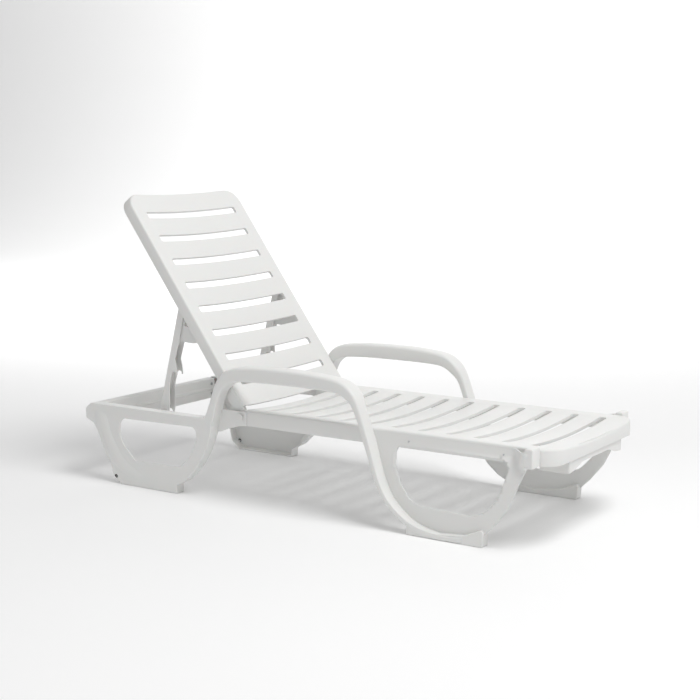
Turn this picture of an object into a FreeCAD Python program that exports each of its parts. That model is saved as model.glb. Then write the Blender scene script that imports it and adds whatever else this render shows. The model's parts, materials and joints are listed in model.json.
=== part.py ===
"""Reclining sun lounger in moulded polypropylene, built as separate mouldings, pins and screws.

Frame: +X towards the foot end, +Z up, origin on the ground under the middle of the lounger's
box with the back raised. Sketches measure X as a station, from the rear tip of the side frames.
"""
import FreeCAD, Part
import math
import os

import Sketcher

V = FreeCAD.Vector
os.makedirs("parts", exist_ok=True)
doc = FreeCAD.newDocument("sun_lounger")

# ---------------------------------------------------------------- driving dimensions (mm, degrees)
SIZES = {
    # overall
    "raised_length": 1765, "overall_width": 700, "rim_height": 303, "arm_height": 455,
    "recline_angle": 54, "wall": 5, "joint_gap": 0.5, "pin_gap": 0.06,
    # seat panel
    "seat_length": 1093, "seat_skirt": 50, "seat_dish": 15, "rim_band": 24, "slot_gap": 25,
    "seat_slot_pitch": 95.2, "seat_slot_count": 11, "seat_slot_first": 90, "slot_end_land": 50,
    "seat_corner": 62, "seat_ear": 82,
    # backrest, measured along its slope from the pivot
    "back_reach": 864, "back_start": 26, "back_skirt": 40, "back_dish": 15, "back_corner": 58,
    "back_slot_pitch": 94.5, "back_slot_count": 8, "back_slot_first": 114.5, "back_land": 56,
    "pivot_depth": 23, "ear_radius": 20,
    # backrest pivot, from the foot end and the ground
    "pivot_from_foot": 1117, "pivot_height": 281, "pivot_radius": 7,
    "head_radius": 11, "head_thickness": 3,
    # prop: its pivot on the backrest, then its leg measured down from that pivot
    "prop_reach": 440, "prop_depth": 6.5, "prop_length": 386.4, "prop_lean": 12.2,
    "prop_span": 560, "prop_leg_depth": 34, "prop_pin_radius": 5, "notch_radius": 10.5,
    "upper_notch": 246, "upper_notch_offset": 13, "cheek": 6, "bracket_wall": 10,
    "rest_pin_radius": 8.5, "rest_gap": 1, "prop_bar_radius": 9, "prop_bar_drop": 88,
    # side frame: rail and rear leg, stations from the rear tip
    "frame_depth": 38, "rail_height": 271, "rail_depth": 37, "tip_height": 54,
    "rear_foot_start": 145, "rear_foot_end": 408, "rear_hole_start": 161, "rear_hole_end": 495,
    "hole_floor": 88,
    # side frame: armrest and front leg, stations from the rear tip or back from the foot end
    "arm_depth": 48, "arm_face": 46, "arm_start": 530, "front_foot_start": 459,
    "front_foot_end": 204, "lug_end": 42, "lug_length": 34, "lug_height": 58,
    "front_hole_start": 523, "front_hole_end": 138,
    # rear crossbeam
    "beam_rear": 9, "beam_depth": 34, "beam_height": 76, "beam_top": 266, "tongue_reach": 44,
    # fasteners and bushes
    "screw_radius": 2.5, "screw_head_radius": 5, "screw_head_height": 3,
    "bush_radius": 6, "bush_bore": 4, "bush_flange_radius": 7, "bush_flange": 2,
    "axle_station": 136, "axle_height": 25, "beam_screw_length": 22, "seat_screw_length": 10,
    "panel_web": 269,
    "rest_station": 302.5, "rest_height": 255.5,
}

sheet = doc.addObject("Spreadsheet::Sheet", "Size")
for row, (word, number) in enumerate(SIZES.items(), start=1):
    sheet.set(f"A{row}", word)
    sheet.set(f"B{row}", str(number))
    sheet.setAlias(f"B{row}", word)
doc.recompute()


def size(word):
    """The sheet's value of one driving dimension."""
    return float(getattr(sheet, word))


# ---------------------------------------------------------------- helpers
def bind(thing, prop, formula):
    """Ties a property to the sheet: words in the formula written as S.word are its cells."""
    thing.setExpression(prop, formula.replace("S.", "Size."))


def new_body(name):
    body = doc.addObject("PartDesign::Body", name)
    body.Label = name
    return body


def add_sketch(body, name, plane, offset="0"):
    """A sketch on one of the body's origin planes, moved along its normal by a formula."""
    sketch = body.newObject("Sketcher::SketchObject", name)
    support = next(f for f in body.Origin.OriginFeatures if f.Role == plane)
    sketch.AttachmentSupport = [(support, "")]
    sketch.MapMode = "FlatFace"
    bind(sketch, "AttachmentOffset.Base.z", offset)
    return sketch


def add_outline(sketch, corners):
    """A closed outline of straight sides whose corners are pairs of formulas."""
    first = sketch.GeometryCount
    count = len(corners)
    rough = [V(100 * math.cos(2 * math.pi * k / count), 100 * math.sin(2 * math.pi * k / count), 0)
             for k in range(count)]
    for k in range(count):
        sketch.addGeometry(Part.LineSegment(rough[k], rough[(k + 1) % count]))
    for k in range(count):
        here, after = first + k, first + (k + 1) % count
        sketch.addConstraint(Sketcher.Constraint("Coincident", here, 2, after, 1))
    for k, (across, up) in enumerate(corners):
        for kind, formula in (("DistanceX", across), ("DistanceY", up)):
            index = sketch.addConstraint(Sketcher.Constraint(kind, -1, 1, first + k, 1, 1.0))
            bind(sketch, f"Constraints[{index}]", formula)


def add_circle(sketch, across, up, radius):
    circle = sketch.addGeometry(Part.Circle(V(10, 10, 0), V(0, 0, 1), 5))
    for kind, formula in (("DistanceX", across), ("DistanceY", up)):
        index = sketch.addConstraint(Sketcher.Constraint(kind, -1, 1, circle, 3, 1.0))
        bind(sketch, f"Constraints[{index}]", formula)
    index = sketch.addConstraint(Sketcher.Constraint("Radius", circle, 5.0))
    bind(sketch, f"Constraints[{index}]", radius)


def add_pad(body, name, sketch, length, reverse=False):
    pad = body.newObject("PartDesign::Pad", name)
    pad.Profile = sketch
    pad.Reversed = reverse
    bind(pad, "Length", length)
    sketch.Visibility = False
    return pad


def add_pocket(body, name, sketch, length=None, reverse=False):
    """A pocket of a given depth, or right through both ways; it has to take something away."""
    doc.recompute()
    before = body.Shape.Volume
    pocket = body.newObject("PartDesign::Pocket", name)
    pocket.Profile = sketch
    if length is None:
        pocket.Type = "ThroughAll"
        pocket.Midplane = True
    else:
        pocket.Reversed = reverse
        bind(pocket, "Length", length)
    doc.recompute()
    if not body.Shape.Volume < before - 1:
        raise RuntimeError(f"{body.Label}: {name} takes nothing away")
    return pocket


def station_place(body):
    """Puts a body sketched in stations into the lounger's frame."""
    bind(body, "Placement.Base.x", "-S.raised_length / 2")


# ---------------------------------------------------------------- shared formulas
FOOT = "S.raised_length"
HALF = "(S.overall_width / 2)"
SEAT_HALF = "(S.overall_width / 2 - S.arm_depth - S.joint_gap)"
BACK_HALF = "(S.overall_width / 2 - S.arm_depth - 2 * S.joint_gap - S.wall)"
PIVOT = "(S.raised_length - S.pivot_from_foot)"


def from_foot(back):
    return f"{FOOT} - ({back})"


REST_STATION = "S.rest_station"
REST_HEIGHT = "S.rest_height"
BEAM_SCREW_REACH = f"{HALF} - S.frame_depth - S.tongue_reach / 2"
BEAM_SCREW_SIDE = f"-({BEAM_SCREW_REACH})"
BEAM_SCREW_HEIGHTS = ["S.beam_top - 20", "S.beam_top - S.beam_height + 20"]


# ---------------------------------------------------------------- slatted panels
def dish_band(body, name, half, rim, dish, start):
    """One level of the dished deck: flat rims and a chord-wise hollow, drawn across the width."""
    sketch = add_sketch(body, name, "YZ_Plane", start)
    steps = 6
    top, low = [], []
    for k in range(-steps, steps + 1):
        across = f"({half} - S.rim_band) * {k / steps:.4f}"
        down = f"{dish} * {1 - (k / steps) ** 2:.4f}"
        top.append((across, f"{rim} - {down}"))
        low.append((across, f"{rim} - {down} - S.wall"))
    return sketch, top, low


def slatted_panel(body, half, rim, dish, skirt, start, end, corner, slots):
    """A dished deck with rounded far corners, a skirt round its edge and a row of slots."""
    far, near = f"{half} - {corner}", f"{end} - {corner}"
    turn = 0.2929
    outer = [(start, f"-{half}"), (near, f"-{half}"),
             (f"{end} - {corner} * {turn}", f"-{half} + {corner} * {turn}"), (end, f"-({far})"),
             (end, far), (f"{end} - {corner} * {turn}", f"{half} - {corner} * {turn}"),
             (near, half), (start, half)]
    inner = [(f"{start} + S.wall", f"-{half} + S.wall"), (near, f"-{half} + S.wall"),
             (f"{end} - {corner} * {turn} - S.wall * 0.8", f"-{half} + ({corner} * {turn} + S.wall * 0.8)"),
             (f"{end} - S.wall", f"-({far})"), (f"{end} - S.wall", far),
             (f"{end} - {corner} * {turn} - S.wall * 0.8", f"{half} - ({corner} * {turn} + S.wall * 0.8)"),
             (near, f"{half} - S.wall"), (f"{start} + S.wall", f"{half} - S.wall")]
    ring = add_sketch(body, f"{body.Label}_skirt_plan", "XY_Plane", f"{rim} - {skirt}")
    add_outline(ring, outer)
    add_outline(ring, inner)
    add_pad(body, f"{body.Label}_skirt", ring, skirt)

    deck, top, low = dish_band(body, f"{body.Label}_deck_section", half, rim, dish, start)
    edge = f"{half} - S.wall / 2"
    add_outline(deck, [(f"-({edge})", rim)] + top + [(edge, rim), (edge, f"{rim} - S.wall")]
                + low[::-1] + [(f"-({edge})", f"{rim} - S.wall")])
    add_pad(body, f"{body.Label}_deck", deck, f"{end} - ({start}) - S.wall / 2")

    hollow, top, _ = dish_band(body, f"{body.Label}_dish_section", half, rim, dish, start)
    add_outline(hollow, top + [(f"{half} - S.rim_band", f"{rim} + 30"),
                               (f"-({half} - S.rim_band)", f"{rim} + 30")])
    add_pocket(body, f"{body.Label}_dish", hollow)

    trim = add_sketch(body, f"{body.Label}_corner_plan", "XY_Plane", rim)
    for side in ("", "-"):
        add_outline(trim, [(near, f"{side}({half})"),
                           (f"{end} - {corner} * {turn}", f"{side}({half} - {corner} * {turn})"),
                           (end, f"{side}({far})"), (f"{end} + 20", f"{side}({far})"),
                           (f"{end} + 20", f"{side}({half} + 20)"), (near, f"{side}({half} + 20)")])
    add_pocket(body, f"{body.Label}_corners", trim)

    first, pitch, count, land = slots
    slot = add_sketch(body, f"{body.Label}_slot_plan", "XY_Plane", rim)
    reach = f"({half} - {land})"
    add_outline(slot, [(f"{first} - S.slot_gap / 2", f"-{reach}"), (f"{first} + S.slot_gap / 2", f"-{reach}"),
                       (f"{first} + S.slot_gap / 2", reach), (f"{first} - S.slot_gap / 2", reach)])
    cut = add_pocket(body, f"{body.Label}_slot", slot)
    row = body.newObject("PartDesign::LinearPattern", f"{body.Label}_slots")
    row.Originals = [cut]
    row.Direction = (slot, ["H_Axis"])
    row.Mode = "Spacing"
    bind(row, "Offset", pitch)
    row.Occurrences = int(size(count))
    body.Tip = row
    doc.recompute()
    return body


def seat_panel():
    body = new_body("seat_panel")
    start = f"({FOOT} - S.seat_length)"
    slatted_panel(body, SEAT_HALF, "S.rim_height", "S.seat_dish", "S.seat_skirt", start, FOOT,
                  "S.seat_corner",
                  (f"{start} + S.seat_slot_first", "S.seat_slot_pitch", "seat_slot_count", "S.slot_end_land"))
    # the skirts run on behind the deck and carry the backrest's pivot
    ear_start = f"({start} - S.seat_ear)"
    for side, reverse in (("right", True), ("left", False)):
        offset = SEAT_HALF if side == "right" else f"-{SEAT_HALF}"
        ear = add_sketch(body, f"seat_ear_{side}_outline", "XZ_Plane", offset)
        low = "S.rim_height - S.seat_skirt"
        top = "S.rim_height - 4"
        add_outline(ear, [(f"{ear_start} + 8", low), (f"{start} + S.wall", low), (f"{start} + S.wall", top),
                          (f"{ear_start} + 14", top), (ear_start, f"{top} - 14"), (ear_start, f"{low} + 8")])
        add_pad(body, f"seat_ear_{side}", ear, "S.wall", reverse)
    for side, offset in (("right", "192.5"), ("left", "-187.5")):
        rib = add_sketch(body, f"foot_rib_{side}_outline", "XZ_Plane", offset)
        add_outline(rib, [(from_foot("106"), "292"), (from_foot("98"), "215"), (from_foot("4"), "215"),
                          (from_foot("4"), "292")])
        add_pad(body, f"foot_rib_{side}", rib, "S.wall", True)
    arch = add_sketch(body, "foot_arch_outline", "YZ_Plane", from_foot("10"))
    add_outline(arch, [("-190", "291"), ("-190", "215"), ("-165", "222"), ("-95", "235"), ("95", "235"),
                       ("165", "222"), ("190", "215"), ("190", "291"), ("95", "287"), ("0", "285.5"),
                       ("-95", "287")])
    add_pad(body, "foot_arch", arch, "S.wall")
    pivot = add_sketch(body, "pivot_hole", "XZ_Plane")
    add_circle(pivot, PIVOT, "S.pivot_height", "S.pivot_radius + S.pin_gap")
    add_pocket(body, "pivot_holes", pivot)
    screws = add_sketch(body, "screw_hole", "XZ_Plane")
    for across, up in SEAT_SCREWS:
        add_circle(screws, across, up, "S.screw_radius + S.pin_gap")
    add_pocket(body, "screw_holes", screws)
    station_place(body)
    return body


# the seat's fixing screws, into the strip along the top of the side frame's front leg
SEAT_SCREWS = [(from_foot("480"), "S.rim_height - 28"), (from_foot("160"), "S.rim_height - 28")]


def backrest_panel():
    """Modelled lying flat with its pivot at the origin and its head end along +X, then raised."""
    body = new_body("backrest_panel")
    slatted_panel(body, BACK_HALF, "S.pivot_depth", "S.back_dish", "S.back_skirt", "S.back_start",
                  "S.back_reach",
                  "S.back_corner", ("S.back_slot_first", "S.back_slot_pitch", "back_slot_count",
                                    "S.back_land"))
    for side, reverse in (("right", True), ("left", False)):
        offset = BACK_HALF if side == "right" else f"-{BACK_HALF}"
        ear = add_sketch(body, f"back_ear_{side}_outline", "XZ_Plane", offset)
        low = "S.pivot_depth - S.back_skirt"
        add_outline(ear, [("-S.ear_radius * 0.45", "S.ear_radius * 0.9"),
                          ("-S.ear_radius", "S.ear_radius * 0.4"),
                          ("-S.ear_radius", "-S.ear_radius * 0.4"), ("-S.ear_radius * 0.45", low),
                          ("S.back_start + 30", low), ("S.back_start + 30", "S.pivot_depth - S.wall")])
        add_pad(body, f"back_ear_{side}", ear, "S.wall + 3", reverse)
        # the rib that the prop's legs are pinned to, with the window above its stop arm
        inner = "(S.prop_span / 2 - S.cheek - S.joint_gap)"
        rib = add_sketch(body, f"prop_rib_{side}_outline", "XZ_Plane",
                         inner if side == "right" else f"-{inner}")
        add_outline(rib, [("300", "S.pivot_depth - 4"), ("345", "S.pivot_depth - 4"), ("345", "-17"),
                          ("379", "-49"),
                          ("393", "-32"), ("402", "-8"), ("405", "S.pivot_depth - 4"),
                          ("S.prop_reach + 16", "S.pivot_depth - 4"), ("S.prop_reach + 16", "-8"),
                          ("S.prop_reach", "-20"), ("400", "-45"), ("385", "-62"), ("372", "-92"),
                          ("344", "-94"),
                          ("309", "-51"), ("300", "-33")])
        add_pad(body, f"prop_rib_{side}", rib, "S.bracket_wall", reverse)
    pivot = add_sketch(body, "pivot_hole", "XZ_Plane")
    add_circle(pivot, "0", "0", "S.pivot_radius + S.pin_gap")
    add_circle(pivot, "S.prop_reach", "-S.prop_depth", "S.prop_pin_radius + S.pin_gap")
    add_pocket(body, "pivot_holes", pivot)
    body.Placement = back_pose()
    return body


def pivot_point():
    return V(size("raised_length") / 2 - size("pivot_from_foot"), 0, size("pivot_height"))


def back_pose():
    """From the backrest's own frame, flat with its head end along +X, to its raised place."""
    turn = FreeCAD.Rotation(V(0, 1, 0), size("recline_angle")) * FreeCAD.Rotation(V(0, 0, 1), 180)
    return FreeCAD.Placement(pivot_point(), turn)


def prop_pose():
    """From the prop's own frame, pivot at the origin and leg hanging straight down, to its place."""
    pivot = back_pose().multVec(V(size("prop_reach"), 0, -size("prop_depth")))
    return FreeCAD.Placement(pivot, FreeCAD.Rotation(V(0, 1, 0), size("prop_lean")))


# ---------------------------------------------------------------- prop
def prop_frame():
    """Two notched legs joined by a round bar; +X is the side that faces the foot end."""
    body = new_body("prop_frame")
    leg = [("-12", "12"), ("-4", "17"), ("8", "17"), ("15", "6"), ("14", "-60"), ("13", "-128"),
           ("7", "-194"),
           ("18", "-217"), ("27", "-S.upper_notch"), ("1", "-S.upper_notch"), ("0", "-286"), ("9", "-330"),
           ("16", "-366"), ("17", "-(S.prop_length + 4)"), ("-21", "-(S.prop_length + 4)"), ("-24", "-366"),
           ("-11", "-18")]
    channel = [("-30", "25"), ("40", "25"), ("40", "-(S.prop_length + 10)"), ("-15", "-(S.prop_length + 10)"),
               ("-17", "-366"), ("-9", "-150"), ("-30", "-150")]
    for side, reverse in (("right", True), ("left", False)):
        offset = "S.prop_span / 2" if side == "right" else "-S.prop_span / 2"
        outline = add_sketch(body, f"leg_{side}_outline", "XZ_Plane", offset)
        add_outline(outline, leg)
        add_pad(body, f"leg_{side}", outline, "S.prop_leg_depth", reverse)
        if side == "right":
            bar = add_sketch(body, "bar_section", "XZ_Plane",
                             "S.prop_span / 2 - S.cheek - S.bracket_wall - 2")
            add_circle(bar, "-1", "-S.prop_bar_drop", "S.prop_bar_radius")
            add_pad(body, "bar", bar, "S.prop_span - 2 * (S.cheek + S.bracket_wall + 2)", True)
    for side, sign, reverse in (("right", "", False), ("left", "-", True)):
        recess = add_sketch(body, f"channel_{side}_outline", "XZ_Plane", f"{sign}(S.prop_span / 2 - S.cheek)")
        add_outline(recess, channel)
        add_pocket(body, f"channel_{side}", recess, "S.prop_leg_depth - 2 * S.cheek", reverse)
    holes = add_sketch(body, "hole_outlines", "XZ_Plane")
    add_circle(holes, "0", "0", "S.prop_pin_radius + S.pin_gap")
    add_circle(holes, "0", "-S.prop_length", "S.notch_radius")
    add_circle(holes, "S.upper_notch_offset", "-S.upper_notch", "S.notch_radius")
    add_pocket(body, "pin_hole_and_notches", holes)
    body.Placement = prop_pose()
    return body


# ---------------------------------------------------------------- side frame
def side_frame_right():
    body = new_body("side_frame_right")
    rail_low = "(S.rail_height - S.rail_depth)"
    ring = add_sketch(body, "rear_leg_outline", "XZ_Plane", HALF)
    add_outline(ring, [("18", "S.rail_height"), ("0", "S.rail_height - 20"),
                       ("0", "S.rail_height - S.tip_height"),
                       ("36", "S.rail_height - S.tip_height - 20"), ("66", "138"), ("105", "80"),
                       ("118", "46"),
                       ("123", "20"), ("S.rear_foot_start", "0"), ("S.rear_foot_end", "0"),
                       ("S.rear_foot_end", "30"), ("S.rear_foot_end + 39", "60"), ("508", "120"),
                       ("540", "182"),
                       ("563", "240"), ("563", "S.rail_height")])
    add_pad(body, "rear_leg", ring, "S.frame_depth", True)
    inboard = add_sketch(body, "rear_leg_hollow_outline", "XZ_Plane", f"{HALF} - S.frame_depth")
    add_outline(inboard, [("24", "S.rail_height - 6"), ("8", "S.rail_height - 24"),
                          ("8", "S.rail_height - 50"),
                          ("42", "S.rail_height - 68"), ("74", "140"), ("113", "84"), ("122", "48"),
                          ("127", "20"),
                          ("149", "5"), ("S.rear_foot_end - 7", "5"), ("S.rear_foot_end - 7", "34"),
                          ("S.rear_foot_end + 34", "66"), ("500", "124"), ("532", "184"), ("554", "241"),
                          ("554", "S.rail_height - 6")])
    add_pocket(body, "rear_leg_hollow", inboard, "S.frame_depth - S.wall", True)
    hole = [("S.rear_hole_start", "176"), ("S.rear_hole_start + 10", "222"),
            ("S.rear_hole_start + 30", rail_low),
            ("S.rear_hole_end - 18", rail_low), ("S.rear_hole_end", "212"), ("S.rear_hole_end - 20", "145"),
            ("S.rear_hole_end - 76", "S.hole_floor"), ("S.rear_hole_start + 72", "S.hole_floor")]
    opening = add_sketch(body, "rear_hole_outline", "XZ_Plane")
    add_outline(opening, hole)
    add_pocket(body, "rear_hole", opening)

    top = "S.arm_height"
    arm = add_sketch(body, "arm_outline", "XZ_Plane", HALF)
    over = [("S.arm_start", "S.rail_height - 20"), ("549", f"{top} - 143"), ("562", f"{top} - 102"),
            ("579", f"{top} - 56"), ("600", f"{top} - 28"), ("628", f"{top} - 12"), ("665", f"{top} - 5"),
            ("760", top), ("918", top), (from_foot("730"), f"{top} - 7"), (from_foot("702"), f"{top} - 15"),
            (from_foot("676"), f"{top} - 28"), (from_foot("655"), f"{top} - 46"),
            (from_foot("640"), f"{top} - 68"),
            (from_foot("612"), "312"), (from_foot("590"), "248"), (from_foot("576"), "204"),
            (from_foot("560"), "154"), (from_foot("535"), "107"), (from_foot("505"), "76"),
            (from_foot("460"), "43"),
            (from_foot("427"), "28"), (from_foot("375"), "18"), (from_foot("271"), "18")]
    under = [(from_foot("271"), "6"), (from_foot("440"), "8"), (from_foot("S.front_foot_start"), "26"),
             (from_foot("481"), "44"), (from_foot("516"), "70"), (from_foot("543"), "104"),
             (from_foot("568"), "148"),
             (from_foot("590"), "205"), (from_foot("603"), "243"), (from_foot("633"), "312"),
             (from_foot("643"), "337"), (from_foot("658"), f"{top} - 87"), (from_foot("686"), f"{top} - 62"),
             (from_foot("715"), f"{top} - S.arm_face - 5"), ("880", f"{top} - S.arm_face"),
             ("769", f"{top} - S.arm_face - 2"), ("661", f"{top} - S.arm_face - 6"), ("620", f"{top} - 69"),
             ("601", f"{top} - 89"), ("583", f"{top} - 122"), ("574", "299"), ("563", "264"), ("556", "240"),
             ("S.arm_start", "240")]
    add_outline(arm, over + under)
    add_pad(body, "arm", arm, "S.arm_depth", True)
    channel = add_sketch(body, "arm_channel_plan", "XY_Plane")
    outer, inner = f"-({HALF} - S.wall)", f"-({HALF} - S.arm_depth + S.wall)"
    add_outline(channel, [("668", outer), (from_foot("722"), outer), (from_foot("722"), inner),
                          ("668", inner)])
    add_pocket(body, "arm_channel", channel, f"{top} - 14", True)

    # the front leg's panel leans outwards below; a web joins it to the strip that backs the seat's rim
    low_panel = add_sketch(body, "front_panel_plan", "XY_Plane", "12")
    deep, flush = f"-({HALF} - S.arm_depth)", f"-({HALF} - S.wall)"
    start, end = from_foot("604"), from_foot("74")
    add_outline(low_panel, [(start, deep), (end, flush), (end, f"-{HALF}"), (start, f"{deep} - S.wall")])
    add_pad(body, "front_panel", low_panel, "S.panel_web - 12")
    web = add_sketch(body, "front_web_plan", "XY_Plane", "S.panel_web - S.wall")
    add_outline(web, [(start, deep), (end, deep), (end, f"-{HALF}"), (start, f"{deep} - S.wall")])
    add_pad(body, "front_web", web, "S.wall")
    strip = add_sketch(body, "front_strip_plan", "XY_Plane", "S.panel_web - S.wall")
    turn = from_foot("112")
    add_outline(strip, [(start, deep), (turn, deep), (end, flush), (end, f"-{HALF}"),
                        (turn, f"{deep} - S.wall"),
                        (start, f"{deep} - S.wall")])
    add_pad(body, "front_strip", strip, "S.rim_height - S.joint_gap - S.panel_web")
    outside = add_sketch(body, "front_leg_outside", "XZ_Plane", HALF)
    add_outline(outside, [(from_foot("615"), "264")] + under[8:1:-1] + [(from_foot("440"), "-4"),
                                                                       (from_foot("615"), "-4")])
    add_outline(outside, [(from_foot("56"), "290"), (from_foot("64"), "253"), (from_foot("70"), "246"),
                          (from_foot("86"), "208"), (from_foot("105"), "156"), (from_foot("145"), "96"),
                          (from_foot("186"), "56"), (from_foot("187"), "-4"), (from_foot("20"), "-4"),
                          (from_foot("20"), "290")])
    add_pocket(body, "front_leg_trim", outside, "S.arm_depth")
    rim = add_sketch(body, "front_rim_outline", "XZ_Plane", HALF)
    add_outline(rim, [(from_foot("186"), "56"), (from_foot("145"), "96"), (from_foot("105"), "156"),
                      (from_foot("86"), "208"), (from_foot("66"), "254"), (from_foot("76"), "254"),
                      (from_foot("94"), "211"), (from_foot("113"), "160"), (from_foot("151"), "102"),
                      (from_foot("190"), "64")])
    add_pad(body, "front_rim", rim, "26", True)
    foot = add_sketch(body, "front_foot_outline", "XZ_Plane", HALF)
    add_outline(foot, [(from_foot("S.front_foot_start"), "0"), (from_foot("S.front_foot_end"), "0"),
                       (from_foot("186"), "12"), (from_foot("186"), "60"), (from_foot("240"), "62"),
                       (from_foot("300"), "30"), (from_foot("S.front_foot_start"), "30")])
    add_pad(body, "front_foot", foot, "S.frame_depth", True)
    lug = add_sketch(body, "front_lug_outline", "XZ_Plane", HALF)
    lug_top = "S.rim_height + 8"
    add_outline(lug, [(from_foot("S.lug_end"), f"{lug_top} - S.lug_height"),
                      (from_foot("S.lug_end"), f"{lug_top} - 6"), (from_foot("S.lug_end + 6"), lug_top),
                      (from_foot("S.lug_end + S.lug_length - 8"), lug_top),
                      (from_foot("S.lug_end + S.lug_length"), f"{lug_top} - 12"),
                      (from_foot("S.lug_end + S.lug_length"), f"{lug_top} - S.lug_height")])
    add_pad(body, "front_lug", lug, "S.arm_depth", True)
    plate = add_sketch(body, "pivot_plate_outline", "XZ_Plane", f"{HALF} - S.arm_depth + S.wall + 1")
    add_outline(plate, [("S.arm_start + 6", "226"), (f"{PIVOT} + 4", "246"), (f"{PIVOT} + 22", "264"),
                        (f"{PIVOT} + 22", "286"), (f"{PIVOT} + 12", "298"), ("S.arm_start + 30", "298")])
    add_pad(body, "pivot_plate", plate, "S.wall + 1", True)
    tongue = add_sketch(body, "tongue_section", "XZ_Plane", f"{HALF} - S.frame_depth + 4")
    low, high = "S.beam_top - S.beam_height + S.wall + S.joint_gap", "S.beam_top - S.wall - S.joint_gap"
    rear, face = "S.beam_rear + 3", "S.beam_rear + S.beam_depth - S.wall - S.joint_gap"
    add_outline(tongue, [(rear, low), (face, low), (face, high), (rear, high)])
    add_outline(tongue, [(f"{rear} + S.wall", f"{low} + S.wall"), (f"{face} - S.wall", f"{low} + S.wall"),
                         (f"{face} - S.wall", f"{high} - S.wall"), (f"{rear} + S.wall", f"{high} - S.wall")])
    add_pad(body, "tongue", tongue, "S.tongue_reach + 4", True)
    front_hole = add_sketch(body, "front_hole_outline", "XZ_Plane")
    left, right = "S.front_hole_start", "S.front_hole_end"
    add_outline(front_hole, [(from_foot(left), "214"), (from_foot(f"{left} - 4"), "240"),
                             (from_foot(f"{left} - 13"), "254"), (from_foot(f"{left} - 27"), "262"),
                             (from_foot(f"{right} + 52"), "264"), (from_foot(f"{right} + 12"), "240"),
                             (from_foot(right), "217"), (from_foot(f"{right} + 7"), "187"),
                             (from_foot(f"{right} + 45"), "120"), (from_foot(f"{right} + 72"), "98"),
                             (from_foot(f"{right} + 95"), "S.hole_floor"),
                             (from_foot(f"{left} - 96"), "S.hole_floor - 3"),
                             (from_foot(f"{left} - 64"), "93"), (from_foot(f"{left} - 16"), "153")])
    add_pocket(body, "front_hole", front_hole)
    holes = add_sketch(body, "fastener_hole_outlines", "XZ_Plane")
    for across, up in SEAT_SCREWS:
        add_circle(holes, across, up, "S.screw_radius + S.pin_gap")
    add_circle(holes, PIVOT, "S.pivot_height", "S.pivot_radius + S.pin_gap")
    add_circle(holes, "S.axle_station", "S.axle_height", "S.bush_radius + S.pin_gap")
    add_circle(holes, REST_STATION, REST_HEIGHT, "S.rest_pin_radius - 3 + S.pin_gap")
    add_pocket(body, "fastener_holes", holes)
    beam_holes = add_sketch(body, "beam_screw_hole_outlines", "YZ_Plane")
    for up in BEAM_SCREW_HEIGHTS:
        add_circle(beam_holes, BEAM_SCREW_SIDE, up, "S.screw_radius + S.pin_gap")
    add_pocket(body, "beam_screw_holes", beam_holes, "S.beam_rear + S.beam_depth", True)
    station_place(body)
    return body


def rear_crossbeam():
    """A channel open to the rear, with a stiffening ridge along its front face."""
    body = new_body("rear_crossbeam")
    end = f"({HALF} - S.frame_depth - S.joint_gap)"
    section = add_sketch(body, "beam_section", "XZ_Plane", end)
    rear, face = "S.beam_rear", "S.beam_rear + S.beam_depth"
    top, low = "S.beam_top", "S.beam_top - S.beam_height"
    middle = "S.beam_top - S.beam_height / 2"
    add_outline(section, [(rear, top), (face, top), (face, f"{middle} + 6"), (f"{face} + 4", f"{middle} + 3"),
                          (f"{face} + 4", f"{middle} - 3"), (face, f"{middle} - 6"), (face, low), (rear, low),
                          (rear, f"{low} + S.wall"), (f"{face} - S.wall", f"{low} + S.wall"),
                          (f"{face} - S.wall", f"{top} - S.wall"), (rear, f"{top} - S.wall")])
    add_pad(body, "beam", section, f"2 * {end}", True)
    holes = add_sketch(body, "screw_hole_outlines", "YZ_Plane")
    for up in BEAM_SCREW_HEIGHTS:
        for side in ("-", ""):
            add_circle(holes, f"{side}({BEAM_SCREW_REACH})", up, "S.screw_radius + S.pin_gap")
    add_pocket(body, "screw_holes", holes)
    station_place(body)
    return body


# ---------------------------------------------------------------- pins, studs, bushes, screws
def round_part(name, across, up, steps):
    """A turned piece lying along Y, drawn on the right: steps of (inner end, outer end, radius)."""
    body = new_body(name)
    for k, (near, far, radius) in enumerate(steps):
        circle = add_sketch(body, f"{name}_step_{k}_outline", "XZ_Plane", far)
        add_circle(circle, across, up, radius)
        add_pad(body, f"{name}_step_{k}", circle, f"{far} - ({near})", True)
    return body


def mirrored(body, name):
    """The same piece on the lounger's left."""
    copy = doc.addObject("Part::Mirroring", name)
    copy.Label = name
    copy.Source = body
    copy.Normal = V(0, 1, 0)
    doc.recompute()
    return copy


def pivot_pin():
    inner = f"({BACK_HALF} - S.wall - 3 - S.joint_gap)"
    outer = f"({HALF} - S.arm_depth + S.wall + 1 + S.joint_gap)"
    body = round_part("back_pivot_pin_right", PIVOT, "S.pivot_height",
                      [(inner, outer, "S.pivot_radius"),
                       (f"{inner} - S.head_thickness", inner, "S.head_radius"),
                       (outer, f"{outer} + S.head_thickness", "S.head_radius")])
    station_place(body)
    return body


def prop_pin():
    inner = "(S.prop_span / 2 - S.prop_leg_depth - S.joint_gap)"
    outer = "(S.prop_span / 2 + S.joint_gap)"
    body = round_part("prop_pivot_pin_right", "0", "0",
                      [(inner, outer, "S.prop_pin_radius"),
                       (f"{inner} - S.head_thickness", inner, "S.prop_pin_radius + 3"),
                       (outer, f"{outer} + S.head_thickness", "S.prop_pin_radius + 3")])
    body.Placement = prop_pose()
    return body


def rest_stud():
    body = round_part("prop_rest_stud_right", REST_STATION, REST_HEIGHT,
                      [("S.prop_span / 2 + S.rest_gap", f"{HALF} - S.wall - S.joint_gap",
                        "S.rest_pin_radius"),
                       (f"{HALF} - S.wall - S.joint_gap - 4", f"{HALF}", "S.rest_pin_radius - 3")])
    station_place(body)
    return body


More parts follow.
